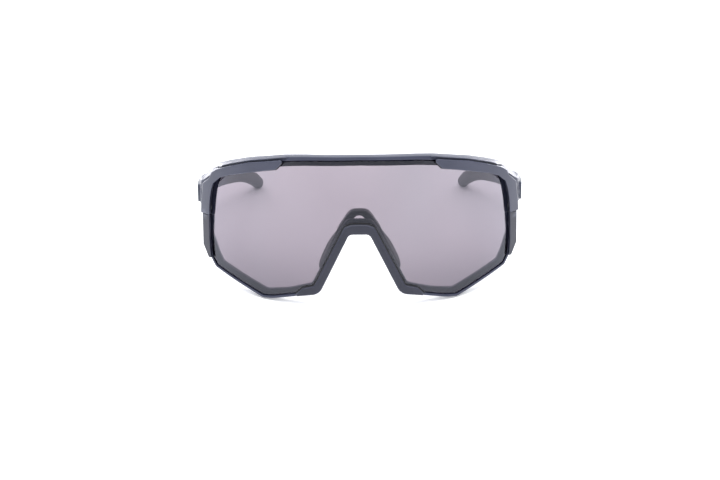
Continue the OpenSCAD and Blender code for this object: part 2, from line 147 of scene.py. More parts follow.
# Stretches over which the brow changes its shape: the cover's inner end, the visor's lower end, the wide
# visor at the corner, the groove's and the raised top's outer ends, and the start of the hinge block
COVER_START_X = (30.4, 30.8)
VISOR_END_Z = (8, 12.4)
CORNER_X = (64.5, 66.5)
CORNER_Z = (9, 12.5)
GROOVE_END_X = (64, 66)
RISE_END_X = (60, 66)
BLOCK_X = (66.4, 69)
# Widths of the visor, of what the corner adds to it and of the groove; the top's rise to the back; the
# block's depth behind the wall, and the step that keeps its corners apart
VISOR_W = 0.4
CORNER_W = 1.3
GROOVE_W = 0.35
TOP_RISE = 0.15
BLOCK_T = 1.5
SMALL_STEP = 0.01
# Stretches over which the rim's lip changes: the nose cover's outer end and the side guard's lower end
NOSE_COVER_END_X = (27.4, 28.0)
GUARD_END_Z = (-21.2, -20.6)
GUARD_END_X = (60, 64)

# Outer edge of the nose bracket, as (x, z, blend), and the steps along its straight stretches
BRACKET_OUTER = [(0, 5.3), (4, 5.3, 2.7), (9.6, -3.2, 1.5), (17.6, -19.8)]
BRACKET_STEPS = [4, 8, 14]
# Inner edge of the bracket's arch, and the stretch over which the arch grows deeper than the legs
ARCH_INNER = [(0, 3.1), (1.3, 3.1, 1.2)]
ARCH_START_Z = (-4.2, -1.6)

# Stations up the left pad: z, front x, rear x, rear y, thickness
PAD_STATIONS = [(-21.5, 16.4, 17.4, 12.2, 1.6), (-19, 15.2, 17, 14.6, 2.2), (-15, 13.2, 15.3, 15.8, 2.4),
                (-10, 10.7, 12.8, 15.2, 2.3), (-6, 8.6, 10.1, 13.8, 2), (-3.4, 7.3, 8.3, 12.2, 1.2)]
# Stations along the left arm: y, outer x, middle z, thickness, height
ARM_STATIONS = [(38.9, 71.5, 6.4, 4.8, 12.8), (50, 73.9, 6.3, 6.2, 12.3), (62, 74.5, 5.9, 5.1, 11),
                (77, 73.1, 5.2, 3.8, 9.2), (91, 70.2, 4.3, 3.5, 7.9), (104, 66.7, 3, 3.9, 7.2),
                (115, 63.1, 1.5, 4.3, 6.7), (125, 59.6, -0.9, 4.6, 6.5), (134, 57.2, -4, 5, 6.5),
                (141, 56.1, -7.1, 5.7, 6.3)]
# Rings along the arm and along its tip, and the points of each ring
ARM_RINGS = 60
ARM_SIDES = 48
# Shares of the arm: where its tip sleeve starts, and the gap in front of that
TIP_SPLIT = 0.5
TIP_GAP = 0.002
# The tip sleeve's rounded start, as the section's scale and its way on, and its round end: the way on, the
# steps, and the power that keeps it full
TIP_START = [(0.9, 0.0), (0.965, 0.08), (1.0, 0.3)]
TIP_END = 1.6
TIP_END_STEPS = 8
TIP_END_POWER = 0.8
# Share of the arm over which its direction is taken
DIRECTION_STEP = 0.01
# Power of a section: 1 is round and 0 is square. What it grows by towards the arm's end, and where it does
SECTION_POWER = 0.6
TIP_POWER = 0.35
TIP_POWER_SHARE = (0.85, 1)
# Pads: the gap between them and the bracket, and the scale of their end rings
PAD_GAP = 0.1
PAD_END_SCALE = 0.12
# Badge: its middle, its slant, its thickness, length and height, and its corners' and front edge's roundings
BADGE_AT = Vector((73.75, 50.5, 6.3))
BADGE_TURN = math.radians(-7.5)
BADGE_SIZE = (1.3, 14.0, 8.4)
BADGE_CORNER = 1.0
BADGE_EDGE = 0.18
# Room round the badge in its pocket, and the way that the pocket's cut reaches out of the arm
BADGE_ROOM = 0.05
POCKET_REACH = 3

# Camera, in millimetres from the lens's foremost point; it aims at a point to the left of that and below it
CAMERA_DISTANCE = 650.0
CAMERA_ELEVATION = math.radians(23)
CAMERA_YAW = math.radians(0.4)
CAMERA_ROLL = math.radians(-0.6)
FOCAL_LENGTH = 76.1
SENSOR_WIDTH = 36.0
AIM_LEFT = 0.27
AIM_BELOW = 6.4

# Meshes: distance at which points join in metres, angles from which edges are sharp or are rounded, step of
# an arc, and the distance between the rings along the frame
JOIN_DISTANCE = 1e-7
SHARP_ANGLE = math.radians(35)
ROUNDED_ANGLE = math.radians(38)
ARC_STEP = math.radians(9)
RING_SPACING = 1.6


# ---- points and outlines ----

def stood(point):
    """A point of the lens's frame, in millimetres, where it stands in the row frame, in metres."""
    x, y, z = point
    return Vector((x, y * math.cos(PITCH) + z * math.sin(PITCH) + SEAT.y,
                   -y * math.sin(PITCH) + z * math.cos(PITCH) + SEAT.z)) * MM


def on_layer(x, z, radius):
    """The point at x and z, seen from the front, on the cylinder of that radius."""
    return (x, LENS_R - math.sqrt(radius * radius - x * x), z)


def mirrored(points):
    return [(-p[0], *p[1:]) for p in reversed(points)]


def both_sides(half):
    """The closed outline whose left half is given."""
    return list(half) + [p for p in mirrored(half) if p[0] < 0]


def moved(path, distance):
    """The open path moved to the left of its direction, with mitred corners."""
    flat = [Vector(p[:2]) for p in path]
    normals = [Vector((a.y - b.y, b.x - a.x)).normalized() for a, b in zip(flat, flat[1:])]
    out = []
    for i, point in enumerate(flat):
        before, after = normals[max(i - 1, 0)], normals[min(i, len(normals) - 1)]
        middle = (before + after).normalized()
        turn = before.x * after.y - before.y * after.x
        radius = path[i][2] if len(path[i]) > 2 else 0
        if radius:
            radius = max(radius - distance * math.copysign(1, turn), 0)
        out.append((*(point + middle * distance / middle.dot(before)), radius))
    return out


def filleted(points, steps=None):
    """The closed polygon with its corners rounded: (x, y) or (x, y, radius). With steps given, each corner
    has the same number of points."""
    made = []
    for i, p in enumerate(points):
        radius = p[2] if len(p) > 2 else 0
        here = Vector(p[:2])
        if not radius:
            made.append(here)
            continue
        u = (Vector(points[i - 1][:2]) - here).normalized()
        v = (Vector(points[(i + 1) % len(points)][:2]) - here).normalized()
        half = math.acos(max(-1, min(1, u.dot(v)))) / 2
        centre = here + (u + v).normalized() * radius / math.sin(half)
        start = here + u * radius / math.tan(half) - centre
        sweep = math.copysign(1, u.x * v.y - u.y * v.x) * (half * 2 - math.pi)
        count = steps or max(2, math.ceil(abs(sweep) / ARC_STEP))
        for k in range(count + 1):
            c, s = math.cos(sweep * k / count), math.sin(sweep * k / count)
            made.append(centre + Vector((start.x * c - start.y * s, start.x * s + start.y * c)))
    return made


def divided(points, longest):
    """The closed polygon with its long edges cut into shorter ones."""
    made = []
    for a, b in zip(points, points[1:] + points[:1]):
        count = max(1, math.ceil((b - a).length / longest))
        made += [a.lerp(b, k / count) for k in range(count)]
    return made


def counter_clockwise(points):
    area = sum(a.x * b.y - b.x * a.y for a, b in zip(points, points[1:] + points[:1]))
    return points if area > 0 else points[::-1]


def inset(points, distance):
    """The counter-clockwise polygon moved inwards."""
    made = []
    for i, here in enumerate(points):
        u = (here - points[i - 1]).normalized()
        v = (points[(i + 1) % len(points)] - here).normalized()
        before, after = Vector((-u.y, u.x)), Vector((-v.y, v.x))
        middle = (before + after).normalized()
        made.append(here + middle * distance / max(middle.dot(before), 0.5))
    return made


def triangulated(ring, spacing, clear=0.6):
    """Points and triangles that fill the closed ring, with a grid of points inside that keeps clear of it."""
    a = np.array([tuple(p) for p in ring])
    b = np.roll(a, -1, 0)
    low, high = a.min(0), a.max(0)
    columns = np.arange(low[0] + spacing / 2, high[0], spacing)
    rows = np.arange(low[1] + spacing / 2, high[1], spacing)
    grid = np.array([(x, z) for x in columns for z in rows]).reshape(-1, 1, 2)
    along = ((grid - a) * (b - a)).sum(-1) / ((b - a) ** 2).sum(-1)
    nearest = a + np.clip(along, 0, 1)[..., None] * (b - a)
    distance = np.linalg.norm(grid - nearest, axis=-1).min(1)
    rise = np.where(b[:, 1] == a[:, 1], 1, b[:, 1] - a[:, 1])
    crossing = (b[:, 0] - a[:, 0]) * (grid[..., 1] - a[:, 1]) / rise + a[:, 0]
    hits = ((a[:, 1] > grid[..., 1]) != (b[:, 1] > grid[..., 1])) & (grid[..., 0] < crossing)
    inside = grid[(hits.sum(1) % 2 == 1) & (distance > spacing * clear), 0]
    coords = list(ring) + [Vector(p) for p in inside]
    found = geometry.delaunay_2d_cdt(coords, [], [list(range(len(ring)))], 1, JOIN_DISTANCE)
    return found[0], found[2]


def blended(keys, counts, turn_steps=6):
    """Points along an open path whose corners are blended: counts[i] steps on straight i, and turn_steps at
    each corner."""
    flat = [Vector(k[:2]) for k in keys]
    made = []
    for i, here in enumerate(flat):
        reach = keys[i][2] if len(keys[i]) > 2 else 0
        if 0 < i < len(flat) - 1:
            start = here + (flat[i - 1] - here).normalized() * reach
            end = here + (flat[i + 1] - here).normalized() * reach
            for k in range(turn_steps + 1):
                t = k / turn_steps
                made.append(start * (1 - t) ** 2 + here * 2 * t * (1 - t) + end * t * t)
        else:
            made.append(here)
        if i < len(flat) - 1:
            after = keys[i + 1][2] if 0 < i + 1 < len(flat) - 1 and len(keys[i + 1]) > 2 else 0
            goal = flat[i + 1] + (here - flat[i + 1]).normalized() * after
            begin = made[-1]
            made += [begin.lerp(goal, k / counts[i]) for k in range(1, counts[i])]
    return made


def smooth_step(value, low, high):
    t = max(0.0, min(1.0, (value - low) / (high - low)))
    return t * t * (3 - 2 * t)


def along(stations, t):
    """Value of the smooth curve through the stations, at t from 0 to 1."""
    n = len(stations) - 1
    i = min(int(t * n), n - 1)
    s = t * n - i
    a, b, c, d = (np.array(stations[k], float) for k in (max(i - 1, 0), i, i + 1, min(i + 2, n)))
    return (2 * b + (c - a) * s + (2 * a - 5 * b + 4 * c - d) * s ** 2 + (3 * b - a - 3 * c + d) * s ** 3) / 2


def section(width, height, sides, power=SECTION_POWER):
    """A closed section with softly rounded corners."""
    made = []
    for i in range(sides):
        angle = 2 * math.pi * (i + 0.5) / sides
        c, s = math.cos(angle), math.sin(angle)
        across, up = math.copysign(abs(c) ** power, c), math.copysign(abs(s) ** power, s)
        made.append((across * width / 2, up * height / 2))
    return made


# ---- meshes ----

def mesh_object(name, points, faces, side=1, floor=False):
    """A closed mesh from points of the lens's frame. side -1 mirrors it; floor keeps it above the surface."""
    mesh = bpy.data.meshes.new(name)
    placed = [stood((p[0] * side, p[1], p[2])) for p in points]
    if floor:
        placed = [Vector((p.x, p.y, max(p.z, 0))) for p in placed]
    mesh.from_pydata(placed, [], faces)
    obj = bpy.data.objects.new(name, mesh)
    bpy.context.scene.collection.objects.link(obj)
    tidied(obj)
    return obj


def tidied(obj):
    """Joins doubled points, turns the faces outwards and smooths all but the sharp edges."""
    bm = bmesh.new()
    bm.from_mesh(obj.data)
    bmesh.ops.remove_doubles(bm, verts=bm.verts, dist=JOIN_DISTANCE)
    bmesh.ops.dissolve_degenerate(bm, edges=bm.edges, dist=JOIN_DISTANCE)
    bmesh.ops.recalc_face_normals(bm, faces=bm.faces)
    bm.to_mesh(obj.data)
    bm.free()
    obj.data.shade_smooth()
    obj.data.set_sharp_from_angle(angle=SHARP_ANGLE)


def ring_faces(ring_count, size):
    """Quads between neighbouring closed rings of the same size."""
    return [(r * size + i, r * size + (i + 1) % size, (r + 1) * size + (i + 1) % size, (r + 1) * size + i)
            for r in range(ring_count - 1) for i in range(size)]


def skin(name, rings, **options):
    """A closed skin over rings that all have the same number of points."""
    size = len(rings[0])
    faces = ring_faces(len(rings), size)
    faces += [tuple(range(size - 1, -1, -1)), tuple(range((len(rings) - 1) * size, len(rings) * size))]
    return mesh_object(name, [p for ring in rings for p in ring], faces, **options)


def plate(name, outline, back_r, front_r, edge, side=1, spacing=2.0):
    """A curved plate between two radii with the outline seen from the front, and round edges on its front."""
    ring = counter_clockwise(divided(filleted(outline), spacing))
    back_edge, steps, hold = 0.15, 5, 0.12
    levels = [(back_edge, back_r), (0, back_r + back_edge)]
    for k in range(steps + 1):
        angle = math.pi / 2 * k / steps
        levels.append((edge * (1 - math.cos(angle)), front_r - edge * (1 - math.sin(angle))))
    levels.append((edge + hold, front_r))
    points = [on_layer(p.x, p.y, radius) for distance, radius in levels for p in inset(ring, distance)]
    faces = ring_faces(len(levels), len(ring))
    for (distance, radius), front in ((levels[0], False), (levels[-1], True)):
        flat, triangles = triangulated(inset(ring, distance), spacing)
        base = len(points)
        points += [on_layer(p.x, p.y, radius) for p in flat]
        faces += [tuple(base + i for i in (t if front else t[::-1])) for t in triangles]
    return mesh_object(name, points, faces, side=side)


def with_base(obj, base, material):
    """Adds the base under a cover to the cover's own mesh, in its own near-black material, a painted shadow
    line.
    """
    bm = bmesh.new()
    bm.from_mesh(obj.data)
    own = len(bm.faces)
    bm.from_mesh(base.data)
    bm.faces.ensure_lookup_table()
    for face in bm.faces[own:]:
        face.material_index = 1
    bm.to_mesh(obj.data)
    bm.free()
    bpy.data.objects.remove(base)
    obj.data.materials.append(material)


def frame_sweep(name, stations, profile_at, floor=False, longest_y=None):
    """Both halves of a frame whose profile runs through the stations' outer, lip and flange edges."""
    outer_keys = [s[0] for s in stations]
    lengths = [(Vector(a[:2]) - Vector(b[:2])).length for a, b in zip(outer_keys, outer_keys[1:])]
    counts = [max(2, math.ceil(length / RING_SPACING)) for length in lengths]
    outer, lip, flange = (blended([s[k] for s in stations], counts) for k in range(3))
    rings = []
    for o, i, f in zip(outer, lip, flange):
        wall, shelf = (i - o).length, (f - i).length
        ring = []
        for across, radius in filleted(profile_at(o, wall, shelf), steps=4):
            spot = o.lerp(i, across / wall) if across <= wall else i.lerp(f, (across - wall) / shelf)
            x, y, z = on_layer(spot.x, spot.y, radius)
            ring.append((x, min(y, longest_y) if longest_y else y, z))
        rings.append(ring)
    other = [[(-x, y, z) for x, y, z in ring] for ring in rings[:0:-1]]
    return skin(name, other + rings, floor=floor)


def cut(obj, *tools):
    """Takes the tools' shapes away from the piece."""
    for tool in tools:
        modifier = obj.modifiers.new("cut", "BOOLEAN")
        modifier.operation, modifier.solver, modifier.object = "DIFFERENCE", "EXACT", tool
    graph = bpy.context.evaluated_depsgraph_get()
    mesh = bpy.data.meshes.new_from_object(obj.evaluated_get(graph))
    obj.modifiers.clear()
    obj.data = mesh
    for tool in tools:
        bpy.data.objects.remove(tool)
    tidied(obj)


def softened(obj, width):
    """Rounds the sharp edges of a piece by that width in millimetres."""
    modifier = obj.modifiers.new("soft edges", "BEVEL")
    modifier.width, modifier.segments = width * MM, 2
    modifier.limit_method, modifier.angle_limit = "ANGLE", ROUNDED_ANGLE
    modifier.harden_normals = True


def knuckle_room(name, side, sides=48):
    """The upright cylinder round the hinge's axis that its knuckles turn in."""
    ring = [(HINGE.x + KNUCKLE_ROOM_R * math.cos(a), HINGE.y + KNUCKLE_ROOM_R * math.sin(a))
            for a in (2 * math.pi * k / sides for k in range(sides))]
    return skin(name, [[(x, y, z) for x, y in ring] for z in KNUCKLE_ROOM_Z], side=side)


def block(name, low, high, side):
    """A box between two corners of the lens's frame."""
    corners = [(low[0], low[1]), (high[0], low[1]), (high[0], high[1]), (low[0], high[1])]
    return skin(name, [[(x, y, z) for x, y in corners] for z in (low[2], high[2])], side=side)


def corner_facet(name, side):
    """The room outside the slanted facet."""
    turn = Euler([math.radians(a) for a in FACET_TURN]).to_matrix()
    square = [(-1, -1), (1, -1), (1, 1), (-1, 1)]
    rings = [[tuple(FACET_AT + turn @ Vector((u, v, w)) * FACET_SIZE) for u, v in square] for w in (0, 1)]
    return skin(name, rings, side=side)


def finished(obj, node, material):
    """The piece stands for its CAD node, and rides on that node's body with its finish."""
    obj.data.materials.clear()
    obj.data.materials.append(material)
    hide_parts(node)
    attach(obj, BODY_OF[node])
    return obj


# ---- materials ----

class Shader:
    """A node material that is built up by short calls."""

    def __init__(self, name):
        self.material = bpy.data.materials.new(name)
        self.material.use_nodes = True
        self.tree = self.material.node_tree
        self.principled = self.tree.nodes["Principled BSDF"]
        self.output = self.tree.nodes["Material Output"]
        self.place = self.add("ShaderNodeTexCoord").outputs["Object"]

    def add(self, kind, inputs=None, **settings):
        node = self.tree.nodes.new(kind)
        for key, value in settings.items():
            setattr(node, key, value)
        for key, value in (inputs or {}).items():
            if isinstance(value, bpy.types.NodeSocket):
                self.tree.links.new(value, node.inputs[key])
            else:
                node.inputs[key].default_value = value
        return node

    def noise(self, per_metre, detail=3.0, stretch=None):
        place = self.place
        if stretch:
            place = self.add("ShaderNodeMapping", {"Vector": place, "Scale": stretch}).outputs["Vector"]
        return self.add("ShaderNodeTexNoise", {"Vector": place, "Scale": per_metre, "Detail": detail,
                                               "Roughness": 0.55}).outputs["Fac"]

    def remapped(self, value, low, high, to_low, to_high):
        return self.add("ShaderNodeMapRange", {"Value": value, "From Min": low, "From Max": high,
                                               "To Min": to_low, "To Max": to_high}).outputs["Result"]

    def summed(self, a, b):
        return self.add("ShaderNodeMath", {0: a, 1: b}, operation="ADD").outputs[0]

    def mixed(self, factor, a, b):
        node = self.add("ShaderNodeMix", {"Factor": factor}, data_type="RGBA")
        colour_a, colour_b, result = node.inputs[6], node.inputs[7], node.outputs[2]
        for socket, value in ((colour_a, a), (colour_b, b)):
            if isinstance(value, bpy.types.NodeSocket):
                self.tree.links.new(value, socket)
            else:
                socket.default_value = (*value, 1)
        return result

    def bump(self, height, depth, strength, normal=None):
        """depth is the height of the relief, in millimetres."""
        inputs = {"Height": height, "Distance": depth * MM, "Strength": strength}
        if normal:
            inputs["Normal"] = normal
        return self.add("ShaderNodeBump", inputs).outputs["Normal"]

    def edges(self):
        """1 on sharp convex edges, where handling wears the surface, and 0 on flat faces."""
        flat, sharp = 0.51, 0.57
        pointiness = self.add("ShaderNodeNewGeometry").outputs["Pointiness"]
        return self.remapped(pointiness, flat, sharp, 0.0, 1.0)

    def feed(self, **sockets):
        for key, value in sockets.items():
            socket = self.principled.inputs[key.replace("_", " ")]
            if isinstance(value, bpy.types.NodeSocket):
                self.tree.links.new(value, socket)
            else:
                socket.default_value = value
        return self.material


def moulded_plastic(name, dark, light, worn, roughness, shine=0.5):
    """Fine-textured moulded nylon: grain, slow tone changes, rubbed edges and a few scuffs."""
    s = Shader(name)
    grain = s.noise(3200, detail=2)
    tone = s.mixed(s.remapped(s.noise(70), 0.35, 0.65, 0, 1), dark, light)
    scuffs = s.remapped(s.noise(900, detail=5, stretch=(1, 0.25, 0.25)), 0.62, 0.75, 0, 1)
    grained = s.remapped(grain, 0.3, 0.7, roughness - 0.05, roughness + 0.06)
    rough = s.summed(grained, s.remapped(scuffs, 0, 1, 0, -0.08))
    colour = s.mixed(s.remapped(s.edges(), 0, 1, 0, 0.5), tone, worn)
    waves = s.bump(s.noise(260, detail=1), 0.01, 0.6)
    s.principled.inputs["Specular IOR Level"].default_value = shine
    return s.feed(Base_Color=colour, Roughness=rough, Normal=s.bump(grain, 0.012, 0.8, waves))


def soft_rubber(name, dark, light, roughness):
    """Moulded rubber: mottled, matt, with a fine pebbled skin."""
    s = Shader(name)
    pebbles = s.add("ShaderNodeTexVoronoi", {"Vector": s.place, "Scale": 1900.0}).outputs["Distance"]
    mottle = s.noise(420, detail=4)
    colour = s.mixed(s.remapped(mottle, 0.35, 0.7, 0, 1), dark, light)
    rough = s.remapped(mottle, 0.3, 0.7, roughness - 0.1, roughness + 0.1)
    s.principled.inputs["Sheen Weight"].default_value = 0.15
    return s.feed(Base_Color=colour, Roughness=rough, Normal=s.bump(pebbles, 0.02, 0.7))


def brushed_steel(name, colour, roughness, stretch):
    """Steel with fine lines along one direction."""
    s = Shader(name)
    lines = s.noise(2500, detail=3, stretch=stretch)
    tone = s.mixed(s.remapped(lines, 0.3, 0.7, 0, 1), [c * 0.8 for c in colour], colour)
    rough = s.remapped(lines, 0.3, 0.7, roughness - 0.08, roughness + 0.1)
    s.principled.inputs["Metallic"].default_value = 1.0
    return s.feed(Base_Color=tone, Roughness=rough, Normal=s.bump(lines, 0.004, 0.6))


def glossy_inlay(name, dark, light):
    """Dark glossy inlay with a fine twill under a clear coat."""
    s = Shader(name)
    turned = s.add("ShaderNodeMapping", {"Vector": s.place, "Rotation": (math.radians(45), 0, 0)})
    weave = s.add("ShaderNodeTexWave",
                  {"Vector": turned.outputs["Vector"], "Scale": 420.0, "Distortion": 0.4}, bands_direction="Z")
    colour = s.mixed(weave.outputs["Fac"], dark, light)
    s.principled.inputs["Coat Weight"].default_value = 1.0
    s.principled.inputs["Coat Roughness"].default_value = 0.06
    return s.feed(Base_Color=colour, Roughness=s.remapped(s.noise(900), 0.3, 0.7, 0.24, 0.36),
                  Normal=s.bump(weave.outputs["Fac"], 0.01, 0.5))


def tinted_lens(name, low_tint_painted_shade, high_tint, cast, film, weight, mirror_ior):
    """Tinted polycarbonate, darker towards its bottom as painted shade of the floor seen through it: light
    passes each face with the tint and a faint film, and the faces that it meets from outside mirror a little,
    more so at a slant."""
    lens_bottom, lens_top = 0.002, 0.064
    s = Shader(name)
    patches = s.remapped(s.noise(24, detail=1), 0.38, 0.62, 0, 1)
    haze = s.remapped(s.noise(1400, detail=4), 0.3, 0.7, 0.03, 0.08)
    s.feed(Base_Color=s.mixed(patches, *film), Roughness=haze)
    height = s.add("ShaderNodeSeparateXYZ", {"Vector": s.place}).outputs["Z"]
    # Painted shade: the tint runs from the darker low colour at the lens's bottom to the paler one at its top
    rise = s.summed(s.remapped(height, lens_bottom, lens_top, 0, 0.94), s.remapped(patches, 0, 1, 0, 0.06))
    streaks = s.remapped(s.noise(16, detail=2, stretch=(1, 1, 0.4)), 0.5, 0.72, 0, 0.5)
    colour = s.mixed(streaks, s.mixed(rise, low_tint_painted_shade, high_tint), cast)
    clear = s.add("ShaderNodeBsdfTransparent", {"Color": colour})
    filmed = s.add("ShaderNodeMixShader", {0: weight, 1: clear.outputs[0], 2: s.principled.outputs[0]})
    slant = s.add("ShaderNodeFresnel", {"IOR": mirror_ior}).outputs[0]
    behind = s.add("ShaderNodeNewGeometry").outputs["Backfacing"]
    share = s.add("ShaderNodeMix", {"Factor": behind, "A": slant, "B": 0.0}, data_type="FLOAT").outputs[0]
    mirror = s.add("ShaderNodeBsdfGlossy", {"Color": (0.84, 0.86, 1, 1), "Roughness": 0.08})
    mix = s.add("ShaderNodeMixShader", {0: share, 1: filmed.outputs[0], 2: mirror.outputs[0]})
    s.tree.links.new(mix.outputs[0], s.output.inputs["Surface"])
    return s.material


frame_plastic = moulded_plastic("frame_plastic", dark=(0.03, 0.033, 0.058), light=(0.038, 0.041, 0.07),
                                worn=(0.11, 0.12, 0.17), roughness=0.36, shine=0.3)
trim_plastic = moulded_plastic("trim_plastic", dark=(0.031, 0.034, 0.06), light=(0.039, 0.042, 0.072),
                               worn=(0.12, 0.13, 0.18), roughness=0.34)
# Painted shade: a darker copy of the trim plastic for the nose cover and the side guards, standing in for the
# shade on their forward faces
trim_plastic_painted_shade = moulded_plastic("trim_plastic_painted_shade", dark=(0.02, 0.021, 0.034), light=(0.026, 0.027, 0.042),
                            worn=(0.12, 0.13, 0.18), roughness=0.36, shine=0.35)
# Near-black for the bases under the covers: painted shadow lines along the covers' edges
painted_shadow_black = moulded_plastic("painted_shadow_black", dark=(0.004, 0.004, 0.006), light=(0.007, 0.007, 0.01),
                             worn=(0.02, 0.02, 0.025), roughness=0.6)
bracket_plastic = moulded_plastic("bracket_plastic", dark=(0.02, 0.02, 0.025), light=(0.03, 0.03, 0.036),
                                  worn=(0.06, 0.06, 0.07), roughness=0.5)
pad_rubber = soft_rubber("pad_rubber", dark=(0.012, 0.012, 0.014), light=(0.035, 0.034, 0.038), roughness=0.5)
tip_rubber = soft_rubber("tip_rubber", dark=(0.02, 0.021, 0.026), light=(0.032, 0.034, 0.042), roughness=0.55)
hinge_steel = brushed_steel("hinge_steel", colour=(0.2, 0.2, 0.21), roughness=0.36, stretch=(1, 1, 0.08))
screw_steel = brushed_steel("screw_steel", colour=(0.3, 0.3, 0.32), roughness=0.3, stretch=(1, 0.1, 1))
badge_inlay = glossy_inlay("badge_inlay", dark=(0.008, 0.012, 0.03), light=(0.025, 0.035, 0.07))
lens_tint = tinted_lens("lens_tint", low_tint_painted_shade=(0.441, 0.405, 0.436), high_tint=(0.513, 0.479, 0.51),
                        cast=(0.464, 0.453, 0.481), film=((0.05, 0.045, 0.06), (0.045, 0.05, 0.055)),
                        weight=0.035, mirror_ior=1.57)


# ---- front ----

def brow_profile(outer, wall, shelf):
    """Wall with the flange behind the lens. Over the shoulder covers it runs forward as a thin visor, with a
    groove below it, and the rest of its front steps back under them. At the sides a block holds the hinge.
    The corners are the way across from the outer edge, the layer's radius and the corner's rounding."""
    x, z = abs(outer.x), outer.y
    covered = smooth_step(x, *COVER_START_X)
    upper = covered * smooth_step(z, *VISOR_END_Z)
    visor = LIP_R + (VISOR_R - LIP_R) * upper - (LIP_R - LENS_R) * (covered - upper)
    visor_w = VISOR_W + CORNER_W * smooth_step(x, *CORNER_X) * smooth_step(z, *CORNER_Z)
    groove_w = visor_w + GROOVE_W
    front = LIP_R - (LIP_R - LENS_R) * covered
    groove = front - (front - GROOVE_R) * upper * (1 - smooth_step(x, *GROOVE_END_X))
    rise = TOP_RISE * (1 - smooth_step(x, *RISE_END_X))
    thick = BLOCK_T * smooth_step(x, *BLOCK_X)
    return [(0, visor, 0.25), (visor_w, visor, 0.12), (visor_w, groove), (groove_w, groove),
            (groove_w, front), (wall, front, 0.2), (wall, FLANGE_R, 0.1), (wall + shelf, FLANGE_R, 0.25),
            (wall + shelf, FLANGE_BACK_R, 0.25), (wall + thick + SMALL_STEP, FLANGE_BACK_R, 0.2),
            (wall + thick, BROW_BACK_R, 0.3), (-rise, BROW_BACK_R, 0.3)]


def rim_profile(outer, wall, shelf):
    """Lip with the flange behind the lens; the lip is lower under the nose cover and the side guards."""
    x, z = abs(outer.x), outer.y
    guarded = smooth_step(z, *GUARD_END_Z) * smooth_step(x, *GUARD_END_X)
    proud = smooth_step(x, *NOSE_COVER_END_X) * (1 - guarded)
    front = LENS_R + (LIP_R - LENS_R) * proud
    return [(0, front, 0.4), (wall, front, 0.25), (wall, FLANGE_R, 0.1), (wall + shelf, FLANGE_R, 0.3),
            (wall + shelf, FLANGE_BACK_R, 0.3), (0, FLANGE_BACK_R, 0.5)]


def make_front():
    upper = frame_sweep("upper_frame_moulding", BROW_STATIONS, brow_profile, longest_y=HINGE.y)
    for name, side in SIDES.items():
        cut(upper, knuckle_room(f"room_{name}", side), corner_facet(f"facet_{name}", side))
    finished(upper, "upper_frame", frame_plastic)
    lower = frame_sweep("lower_frame_moulding", RIM_STATIONS, rim_profile, floor=True)
    finished(lower, "lower_frame", frame_plastic)
    lens_outline = both_sides(moved(RIM_OUTER, LIP_W + LENS_GAP) + LENS_UPPER)
    finished(plate("lens_shield", lens_outline, LENS_BACK_R, LENS_R, LENS_EDGE), "lens", lens_tint)
    upper_edge = NOSE_COVER[NOSE_UPPER:]
    body = both_sides(NOSE_COVER[:NOSE_UPPER] + moved(upper_edge, SHADOW_LINE_W))
    nose = plate("nose_cover_trim", body, TRIM_R, NOSE_COVER_R, NOSE_COVER_EDGE, spacing=TRIM_SPACING)
    finished(nose, "nose_cover", trim_plastic_painted_shade)
    # The nose cover's base shows past its upper edge in near-black, as a painted shadow line
    base = plate("nose_base", both_sides(NOSE_COVER), TRIM_R, BASE_R, BASE_EDGE, spacing=TRIM_SPACING)
    with_base(nose, base, painted_shadow_black)
    for name, side in SIDES.items():
        cover = plate(f"{name}_shoulder_cover_trim", COVER, TRIM_R, COVER_R, COVER_EDGE, side, TRIM_SPACING)
        finished(cover, f"{name}_shoulder_cover", trim_plastic)
        # The cover's base shows round its inner end in near-black, as a painted shadow line
        base = plate("cover_base", COVER_BASE, TRIM_R, BASE_R, BASE_EDGE, side, TRIM_SPACING)
        with_base(cover, base, painted_shadow_black)
        guard = plate(f"{name}_side_guard_trim", GUARD, TRIM_R, GUARD_R, GUARD_EDGE, side, TRIM_SPACING)
        finished(guard, f"{name}_side_guard", trim_plastic_painted_shade)


# ---- nose ----

def make_nose():
    inner_keys = ARCH_INNER + moved(BRACKET_OUTER, -BRACKET_W)[len(ARCH_INNER):]
    outer, inner = blended(BRACKET_OUTER, BRACKET_STEPS), blended(inner_keys, BRACKET_STEPS)
    rings = []
    for o, i in zip(outer, inner):
        back = BRACKET_BACK_R - ARCH_DEPTH * smooth_step(o.y, *ARCH_START_Z)
        width = (i - o).length
        profile = [(0, BRACKET_R, 0.5), (width, BRACKET_R, 0.5), (width, back, 0.6), (0, back, 0.6)]
        corners = filleted(profile, steps=5)
        rings.append([on_layer(*o.lerp(i, across / width), radius) for across, radius in corners])
    other = [[(-x, y, z) for x, y, z in ring] for ring in rings[:0:-1]]
    finished(skin("nose_bracket_moulding", other + rings), "nose_bracket", bracket_plastic)
    for name, side in SIDES.items():
        pad = skin(f"{name}_nose_pad_moulding", pad_rings(), side=side)
        finished(pad, f"{name}_nose_pad", pad_rubber)


def pad_rings(count=36, sides=28, round_share=0.12):
    """Rings up the pad: a thin plate with round edges and rounded ends, which flares out towards the face."""
    rings = []
    for k in range(count + 1):
        t = (1 - math.cos(math.pi * k / count)) / 2
        z, front_x, rear_x, rear_y, thick = along(PAD_STATIONS, t)
        past = max(0.0, 1 - min(t, 1 - t) / round_share)
        scale = max(math.sqrt(1 - past * past), PAD_END_SCALE)
        front_y = LENS_R - math.sqrt(BRACKET_BACK_R ** 2 - (front_x + thick / 2) ** 2) + PAD_GAP
        front, rear = Vector((front_x, front_y)), Vector((rear_x, rear_y))
        u = (rear - front).normalized()
        middle = (front + rear) / 2
        ring = []
        for a, b in section((rear - front).length * scale, thick * scale, sides):
            spot = middle + u * a + Vector((u.y, -u.x)) * b
            ring.append((spot.x, spot.y, z))
        rings.append(ring)
    return rings


# ---- arms ----

def arm_centre(t):
    y, outer_x, z, thick, _height = along(ARM_STATIONS, t)
    return Vector((outer_x - thick / 2, y, z))


